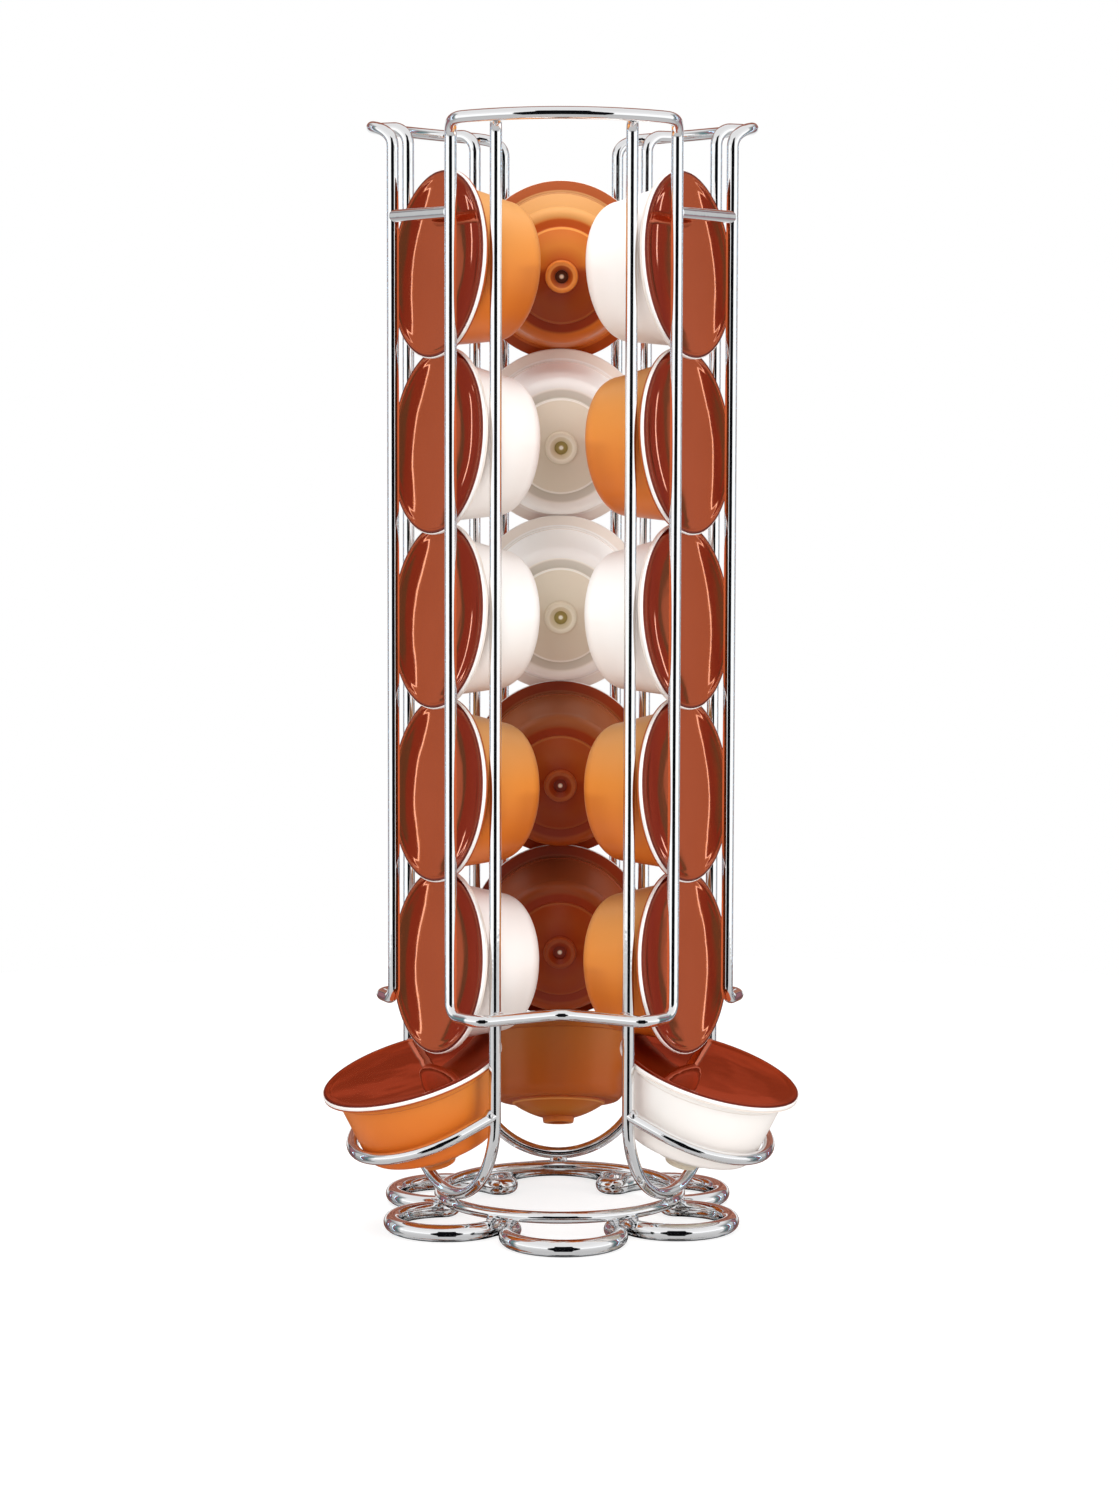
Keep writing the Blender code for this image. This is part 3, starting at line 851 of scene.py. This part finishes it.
def crown_bend(sign):
    """The sweep from an upright's top into the crown arch, in one smooth double bend."""
    arch_start = math.asin(upright_side / crown_radius) - frame_top_bend / crown_radius
    out, side = math.cos(arch_start), sign * math.sin(arch_start)
    upright_top = Vector((upright_out, sign * upright_side, crown_height - frame_top_bend))
    arch_end = Vector((crown_radius * out, crown_radius * side, crown_level(crown_radius * out)))
    along_arch = Vector((-side * sign, out * sign, -side * sign * crown_slope))
    first_handle = upright_top + Vector((0.0, 0.0, frame_top_bend))
    return interpolate_bezier(upright_top, first_handle, arch_end + along_arch * frame_top_bend, arch_end,
                              crown_bend_points)


def frame_route():
    """A closed loop: two uprights, a crown arch thrown forward, and a notched foot."""
    first_bend, last_bend = crown_bend(1.0), crown_bend(-1.0)
    arch_sweep = math.atan2(first_bend[-1].y, first_bend[-1].x)
    middle = Vector((crown_radius, 0.0, crown_radius * crown_slope))
    arch = arc(Vector((0.0, 0.0, crown_level(0.0))), middle, Vector((0.0, crown_radius, 0.0)),
               arch_sweep, -arch_sweep, 2.0 * arch_sweep / arch_steps)
    route = first_bend + arch[1:-1] + last_bend[::-1]
    corners = [
        (Vector((upright_out, -upright_side, frame_foot_height)), frame_foot_bend),
        (Vector((shoulder_out, -shoulder_side, frame_foot_height)), shoulder_bend),
        (Vector((notch_reach, 0.0, frame_foot_height)), notch_bend),
        (Vector((shoulder_out, shoulder_side, frame_foot_height)), shoulder_bend),
        (Vector((upright_out, upright_side, frame_foot_height)), frame_foot_bend),
    ]
    for i, (corner, radius) in enumerate(corners):
        before = corners[i - 1][0] if i > 0 else route[-1]
        after = corners[i + 1][0] if i < len(corners) - 1 else route[0]
        route = route + bend(before, corner, after, radius)
    return route


def crossbar_route():
    """The short bar between two neighbouring uprights."""
    half_length = retainer_half_gap - fine_wire_radius * crossbar_end_share
    return [Vector((retainer_reach, share * half_length, crossbar_height)) for share in (-1.0, 0.0, 1.0)]


def hoop_route(reach, height):
    """The sloping hoop that holds the cradle capsule, whose lid's centre has this reach and height."""
    slope = (solid_mouth_radius - body_base_radius) / (body_depth - solid_body_start)
    offset = (fine_corner + seat_gap) * math.sqrt(1.0 + slope ** 2)
    limit = solid_mouth_radius + slope * solid_body_start + offset
    outward = math.cos(cradle_tilt) - slope * math.sin(cradle_tilt)
    upward = math.sin(cradle_tilt) + slope * math.cos(cradle_tilt)
    fall = math.tan(hoop_slope)
    known = limit + outward * reach + upward * (hoop_height + guide_reach * fall - height)
    front_reach = known / (outward + upward * fall)
    front_height = hoop_height - (front_reach - guide_reach) * fall
    run = Vector((math.cos(hoop_slope), 0.0, -math.sin(hoop_slope)))
    side = Vector((0.0, 1.0, 0.0))
    depth_there = (height - hoop_height) / math.cos(cradle_tilt)
    body_there = solid_mouth_radius - slope * (depth_there - solid_body_start)
    radius = body_there + fine_corner + seat_gap + hoop_side_play
    centre = Vector((front_reach, 0.0, front_height)) - run * radius
    lean = math.atan2(guide_half_width - radius, (centre.x - guide_reach) / math.cos(hoop_slope))
    bow = arc(centre, run * radius, side * radius, -math.pi / 2.0 + lean, math.pi / 2.0 - lean, lobe_step)
    ends = [Vector((guide_reach, sign * guide_half_width, hoop_height)) for sign in (-1.0, 1.0)]
    return [ends[0]] + bow + [ends[1]]


# Places on the tower

ring_low, ring_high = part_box("base_ring")
axis_y = (ring_low.y + ring_high.y) / 2.0
tower = Matrix.Translation((0.0, axis_y, 0.0))
base = tower @ Matrix.Rotation(flower_turn - math.pi / 2.0, 4, "Z")


def facing(heading):
    """Where a column's or a frame's own axes lie, for a heading in degrees."""
    return tower @ Matrix.Rotation(math.radians(heading - 90.0), 4, "Z")


def lid_centre(name):
    """The middle of a lid's outer face, from the solid."""
    low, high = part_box(name + "_lid")
    return (low + high) / 2.0


def capsule_place(name, heading, lean, spin):
    """A capsule's own axes: +Z leaves the lid, and the spin turns it about that axis."""
    turn = Matrix.Rotation(math.radians(heading - 90.0), 4, "Z")
    turn = turn @ Matrix.Rotation(math.pi / 2.0 - lean, 4, "Y")
    centre = lid_centre(name) + turn.to_3x3() @ Vector((0.0, 0.0, lid_thickness / 2.0))
    return centre, (turn @ Matrix.Rotation(spin, 4, "Z")).to_euler()


# Profiles that the capsule pieces are turned from, as radius and depth

def quarter(centre, width, drop, start, end, count):
    """Points on an ellipse's arc in a profile, with angles in degrees."""
    points = []
    for i in range(count + 1):
        angle = math.radians(start + (end - start) * i / count)
        points.append((centre[0] + width * math.cos(angle), centre[1] + drop * math.sin(angle)))
    return points


def cup_profile():
    """Flange, neck, tapered wall, rounded edge, low step, shallow dome and the outlet boss."""
    flange_half = (flange_bottom - flange_top) / 2.0
    wall_top = neck_bottom + mould_round
    points = [(0.0, film_seat), (rim_inner_radius, film_seat), (rim_inner_radius + mould_round, flange_top)]
    points += [(flange_radius, flange_top)]
    points += quarter((flange_radius, flange_top + flange_half), mould_round, flange_half,
                      -90.0, 90.0, round_steps)
    points += [(neck_radius + groove_lip, flange_bottom), (groove_radius, flange_bottom + mould_round)]
    points += [(neck_radius, flange_bottom + mould_round + groove_lip), (neck_radius, neck_bottom)]
    for i in range(wall_steps):
        share = i / wall_steps
        radius = body_top_radius + (body_base_radius - body_top_radius) * share
        points.append((radius, wall_top + (body_depth - wall_top) * share))
    edge_width = body_base_radius - base_edge_radius
    points += quarter((base_edge_radius, body_depth), edge_width, base_depth - body_depth,
                      0.0, 90.0, edge_steps)
    step_round = step_height * step_round_share
    dome_rim = step_radius - step_round
    dome_start = base_depth + step_height
    points += [(step_radius + step_round, base_depth)]
    points += quarter((step_radius + step_round, base_depth + step_round), step_round, step_round,
                      -90.0, -180.0, hollow_steps)
    points += quarter((dome_rim, dome_start - step_round), step_round, step_round, 0.0, 90.0, round_steps)
    for i in range(1, dome_steps + 1):
        radius = dome_rim + (boss_radius - dome_rim) * i / dome_steps
        rise = (dome_rim ** 2 - radius ** 2) / (dome_rim ** 2 - boss_radius ** 2)
        points.append((radius, dome_start + dome_height * rise))
    tip = dome_start + dome_height + boss_height
    recess_floor = tip - recess_depth
    points += quarter((boss_radius - boss_inset, tip - boss_round_depth), boss_round_width, boss_round_depth,
                      0.0, 90.0, round_steps)
    points += [(recess_radius + mould_round, tip), (recess_radius, tip - mould_edge)]
    points += [(outlet_radius + mould_round, recess_floor), (outlet_radius, recess_floor - mould_edge)]
    points += [(outlet_radius - mould_edge, tip - outlet_depth), (0.0, tip - outlet_depth)]
    return points


def rim_profile():
    """The white ring between the film and the cup's flange."""
    middle = (rim_top + rim_bottom) / 2.0
    half = (rim_bottom - rim_top) / 2.0
    points = [(rim_inner_radius, rim_top)]
    points += quarter((rim_radius - rim_round, middle), rim_round, half, -90.0, 90.0, bead_steps)
    points += [(rim_inner_radius, rim_bottom), (rim_inner_radius, rim_top)]
    return points


def film_profile(dish):
    """The film: a shallow dish, a raised bead inside the edge, and the folded edge."""
    points = [(0.0, film_shelf + dish)]
    for i in range(film_steps + 1):
        share = i / film_steps
        radius = film_flat_radius + (film_dish_radius - film_flat_radius) * share
        fall = film_bowl * share ** 2 + (1.0 - film_bowl) * share ** 4
        points.append((radius, film_shelf + dish * (1.0 - fall)))
    points += film_climb
    points += quarter((film_bead_radius, film_bead_height), film_bead_width, film_bead_height,
                      -180.0, 0.0, bead_steps)
    points += [(film_edge_radius, film_edge_top), (film_edge_radius, film_edge_bottom)]
    points += [(film_plug_radius, film_edge_bottom), (film_plug_radius, film_back), (0.0, film_back)]
    return points


def profile_mesh(name, points):
    """A profile as edges in the XZ plane, with depth along -Z."""
    return line_mesh(name, [(radius, 0.0, -depth) for radius, depth in points])


# Pieces

def make_wires(tree, chrome):
    """Every wire of the tower, drawn along its route."""
    wires = [
        ("base_flower_wire", flower_route(), base, base_wire_radius, True),
        ("base_ring", ring_route(), base, fine_wire_radius, True),
    ]
    for side, heading in frame_headings.items():
        wires.append((side + "_retaining_frame", frame_route(), facing(heading), fine_wire_radius, True))
    for side, heading in column_headings.items():
        column = facing(heading)
        cradle = column.inverted() @ lid_centre(side + "_cradle")
        cradle += Vector((math.sin(cradle_tilt), 0.0, math.cos(cradle_tilt))) * (lid_thickness / 2.0)
        wires.append((side + "_column_guide", guide_route(), column, fine_wire_radius, False))
        wires.append((side + "_top_crossbar", crossbar_route(), column, fine_wire_radius, False))
        hoop = hoop_route(cradle.x, cradle.z)
        wires.append((side + "_cradle_hoop", hoop, column, fine_wire_radius, False))
    for node, route, place, radius, closed in wires:
        name = node + "_drawn"
        mesh = line_mesh(name, [place @ point for point in route], closed)
        wire = grown(name, mesh, tree, {"Wire radius": radius, "Sides": wire_sides, "Finish": chrome},
                     "stand", "chrome_wire", node)
        # In the lids, the frames' mirror images would fall in the wrong place.
        wire.visible_glossy = not node.endswith("_retaining_frame")


def make_beads(name, beads, tree, finish):
    """Weld beads of one kind, each given as its place and its turn about Z."""
    mesh = bpy.data.meshes.new(name)
    mesh.from_pydata([tuple(place) for place, turn in beads], [], [])
    sizes = mesh.attributes.new("bead_size", "FLOAT_VECTOR", "POINT")
    sizes.data.foreach_set("vector", bead_sizes[name] * len(beads))
    turns = mesh.attributes.new("bead_turn", "FLOAT_VECTOR", "POINT")
    turns.data.foreach_set("vector", [value for place, turn in beads for value in (0.0, 0.0, turn)])
    grown(name, mesh, tree, {"Lump height": weld_lump_height, "Finish": finish}, "stand", "chrome_wire")


def make_welds(tree, finish):
    """The beads where wires meet: bars, guide tops, hoops, frame feet, guide feet and the ring."""
    beads = {name: [] for name in bead_sizes}
    spacing = fine_corner + seat_gap / 2.0
    stem = Vector(((guide_reach + ring_radius) / 2.0, 0.0, (ring_height + guide_foot_height) / 2.0))
    for heading in column_headings.values():
        place = facing(heading)
        turn = math.radians(heading - 90.0)
        for sign in (-1.0, 1.0):
            bar = Vector((retainer_reach, sign * (retainer_half_gap - fine_wire_radius), crossbar_height))
            hoop = Vector((guide_reach + fine_corner, sign * guide_half_width, hoop_height))
            beads["crossbar_welds"].append((place @ bar, turn))
            beads["hoop_welds"].append((place @ hoop, turn))
        beads["guide_foot_welds"].append((place @ stem, turn))
    for heading in frame_headings.values():
        place = facing(heading)
        turn = math.radians(heading - 90.0)
        for sign in (-1.0, 1.0):
            top = Vector((arm_end_out, sign * arm_side, crown_level(arm_end_out)))
            run = Vector((shoulder_out - notch_reach, sign * shoulder_side, 0.0)).normalized()
            across = Vector((run.y * sign, -run.x * sign, 0.0))
            foot = Vector((arm_out, sign * arm_side, frame_foot_height)) + across * spacing
            beads["guide_top_welds"].append((place @ top, turn))
            beads["frame_foot_welds"].append((place @ foot, turn - sign * math.atan2(run.x, abs(run.y))))
    route = flower_route()
    for before, after in zip(route, route[1:] + route[:1]):
        inner, outer = sorted((before.xy.length, after.xy.length))
        if inner < ring_radius <= outer:
            share = (ring_radius - before.xy.length) / (after.xy.length - before.xy.length)
            crossing = before.lerp(after, share)
            crossing.z = 2.0 * base_wire_radius
            turn = math.atan2(crossing.y, crossing.x) + flower_turn - math.pi / 2.0
            beads["ring_welds"].append((base @ crossing, turn))
    for name, places in beads.items():
        make_beads(name, places, tree, finish)


def make_capsule(name, heading, lean, number, colour, shade, tree, finishes):
    """A capsule's cup, sealing rim and film, each turned about the capsule's axis."""
    centre, turn = capsule_place(name, heading, lean, spin_step * number)
    upright = lean == stack_lean
    dish = film_dish if upright else cradle_film_dish
    crease = stack_crease if upright else cradle_crease
    shared = {
        "Steps": capsule_sides,
        "Centre": centre,
        "Turn": turn,
        "Shade": shade,
        "Upright": float(upright),
        "Crease height": 0.0,
        "Crease inside": crease_radii[0],
        "Crease outside": crease_radii[1],
    }
    grown(name + "_moulded_cup", profile_mesh(name, cup_profile()), tree,
          {**shared, "Finish": finishes[colour]}, name, colour + "_cup", name + "_cup")
    grown(name + "_seal_rim", profile_mesh(name, rim_profile()), tree,
          {**shared, "Finish": finishes["seal"]}, name, "white_cup")
    grown(name + "_film", profile_mesh(name, film_profile(dish)), tree,
          {**shared, "Crease height": crease, "Finish": finishes["film"]}, name, "lid_film", name + "_lid")


def make_capsules(tree):
    """Six capsules for each column: one in the cradle and five standing above it."""
    finishes = {
        "orange": orange_plastic(),
        "white": white_plastic(),
        "seal": seal_plastic(),
        "film": lid_film(),
    }
    number = 0
    for side, heading in column_headings.items():
        for level, (colour, shade) in enumerate(zip(cup_colours[side], cup_shades[side])):
            name = side + "_stack_" + str(level) if level else side + "_cradle"
            lean = stack_lean if level else cradle_lean
            make_capsule(name, heading, lean, number, colour, shade, tree, finishes)
            number += 1


# Studio

def make_camera():
    """The photograph's camera: a long lens, a little above the tower's middle."""
    data = bpy.data.cameras.new("camera")
    data.lens = camera_lens
    data.sensor_width = camera_sensor
    camera = added("camera", data)
    orbit = tower @ Matrix.Rotation(camera_orbit, 4, "Z")
    aim = Matrix.Rotation(math.pi / 2.0 - camera_fall, 4, "X") @ Matrix.Rotation(camera_roll, 4, "Z")
    camera.matrix_world = orbit @ Matrix.Translation(camera_place) @ aim
    bpy.context.scene.camera = camera


def make_floor():
    """A pale floor disc that keeps the tower's soft shadow."""
    material, recipe = finish_recipe("pale_floor")
    rays = recipe.node("ShaderNodeLightPath")
    bright = recipe.node("ShaderNodeEmission", {}, {
        "Color": (1.0, 1.0, 1.0, 1.0),
        "Strength": rays.other("Is Camera Ray") * floor_glow,
    })
    tone = recipe.blend(rays.other("Is Camera Ray"), floor_light, floor_tone)
    matte = recipe.node("ShaderNodeBsdfDiffuse", {}, {"Color": tone})
    both = recipe.node("ShaderNodeAddShader", {}, {0: bright, 1: matte})
    gloss = recipe.node("ShaderNodeBsdfGlossy", {}, {"Color": floor_gloss, "Roughness": 0.04})
    wet = recipe.node("ShaderNodeMixShader", {}, {0: rays.other("Is Glossy Ray"), 1: both, 2: gloss})
    recipe.node("ShaderNodeOutputMaterial", {}, {"Surface": wet})
    angles = [2.0 * math.pi * k / floor_sides for k in range(floor_sides)]
    points = [(floor_radius * math.cos(a), floor_radius * math.sin(a), 0.0) for a in angles]
    mesh = bpy.data.meshes.new("floor")
    mesh.from_pydata(points, [], [tuple(range(floor_sides))])
    mesh.materials.append(material)
    floor = added("floor", mesh)


def over_half_turn(recipe, turn, stops):
    """A ramp over turns of 0 to 180 degrees."""
    return recipe.ramp(turn / 180.0, [(place / 180.0, level) for place, level in stops])


def make_world():
    """White for the camera, plain grey light for matte surfaces, and the studio for mirrors."""
    world = bpy.data.worlds.new("studio")
    bpy.context.scene.world = world
    world.use_nodes = True
    recipe = Recipe(world.node_tree)
    looked_at = recipe.node("ShaderNodeTexCoord", output="Generated")
    direction = recipe.node("ShaderNodeSeparateXYZ", {}, {0: looked_at})
    degree = 180.0 / math.pi
    turn = recipe.maths("ABSOLUTE", recipe.maths("ARCTAN2", direction, direction.other("Y") * -1.0)) * degree
    rise = recipe.maths("ARCSINE", direction.other("Z")) * degree
    mottle = recipe.node("ShaderNodeTexNoise", {}, {"Vector": looked_at, "Scale": 11.0, "Detail": 3.0})
    corner = recipe.smooth(rise, *corner_rises) * recipe.smooth(turn, *corner_turns) * corner_shift
    waver = (mottle - 0.5) * waver_turn * (1.0 - recipe.band(turn, *calm_turns))
    room = over_half_turn(recipe, turn - corner + waver, room_stops)
    soft_room = over_half_turn(recipe, turn, soft_room_stops)
    steep = recipe.smooth(recipe.maths("ABSOLUTE", rise), *steep_rises)
    room = recipe.blend(steep, room, soft_room)
    high = recipe.smooth(rise, *high_rises) * (1.0 - recipe.smooth(turn, *high_turns))
    room = recipe.blend(high, room, high_wall)
    strip = recipe.band(turn, *strip_turns) * (1.0 - steep)
    glint = recipe.band(turn, *glint_turns) * recipe.band(rise, *glint_rises)
    room = recipe.blend(strip + glint, room, strip_light)
    room = recipe.blend(recipe.smooth(rise, *ceiling_rises), room, ceiling)
    room = recipe.blend(1.0 - recipe.smooth(rise, *ground_rises), room, ground)
    wall = recipe.smooth(turn, *wall_turns) * recipe.band(rise, *wall_rises)
    patches = recipe.blend(recipe.smooth(mottle, *patch_levels), dark_patch, pale_patch)
    room = recipe.blend(wall, room, patches)
    card_half = card_half_turn + recipe.smooth(rise, *card_foot_rises) * card_foot_change
    card_half = card_half - recipe.smooth(rise, *card_head_rises) * card_head_change
    card = 1.0 - recipe.smooth(turn, card_half - card_softness, card_half + card_softness)
    room = recipe.blend(card * recipe.band(rise, *card_rises), room, black_card)
    rays = recipe.node("ShaderNodeLightPath")
    seen = rays.other("Is Camera Ray")
    mirrored = rays.other("Is Glossy Ray")
    matte = (1.0 - seen) * (1.0 - mirrored)
    strength = seen + mirrored * mirror_strength + matte * matte_strength
    tint = recipe.blend(mirrored, (1.0, 1.0, 1.0, 1.0), room)
    light = recipe.node("ShaderNodeBackground", {}, {"Color": tint, "Strength": strength})
    recipe.node("ShaderNodeOutputWorld", {}, {"Surface": light})


def make_soft_boxes():
    """Soft boxes that mirrors don't show."""
    for name, (place, target, size, power) in soft_boxes.items():
        data = bpy.data.lights.new(name, "AREA")
        data.shape = "SQUARE"
        data.size = size
        data.energy = power
        lamp = added(name, data)
        lamp.location = place
        lamp.rotation_euler = (Vector(target) - Vector(place)).to_track_quat("-Z", "Y").to_euler()
        lamp.visible_glossy = False


def make_studio():
    """Camera, floor, world and lamps."""
    bpy.context.scene.view_settings.view_transform = "Standard"
    make_camera()
    make_floor()
    make_world()
    make_soft_boxes()


make_wires(drawn_wire_tree(), polished_chrome())
make_welds(weld_bead_tree(), weld_chrome())
make_capsules(turned_tree())
make_studio()
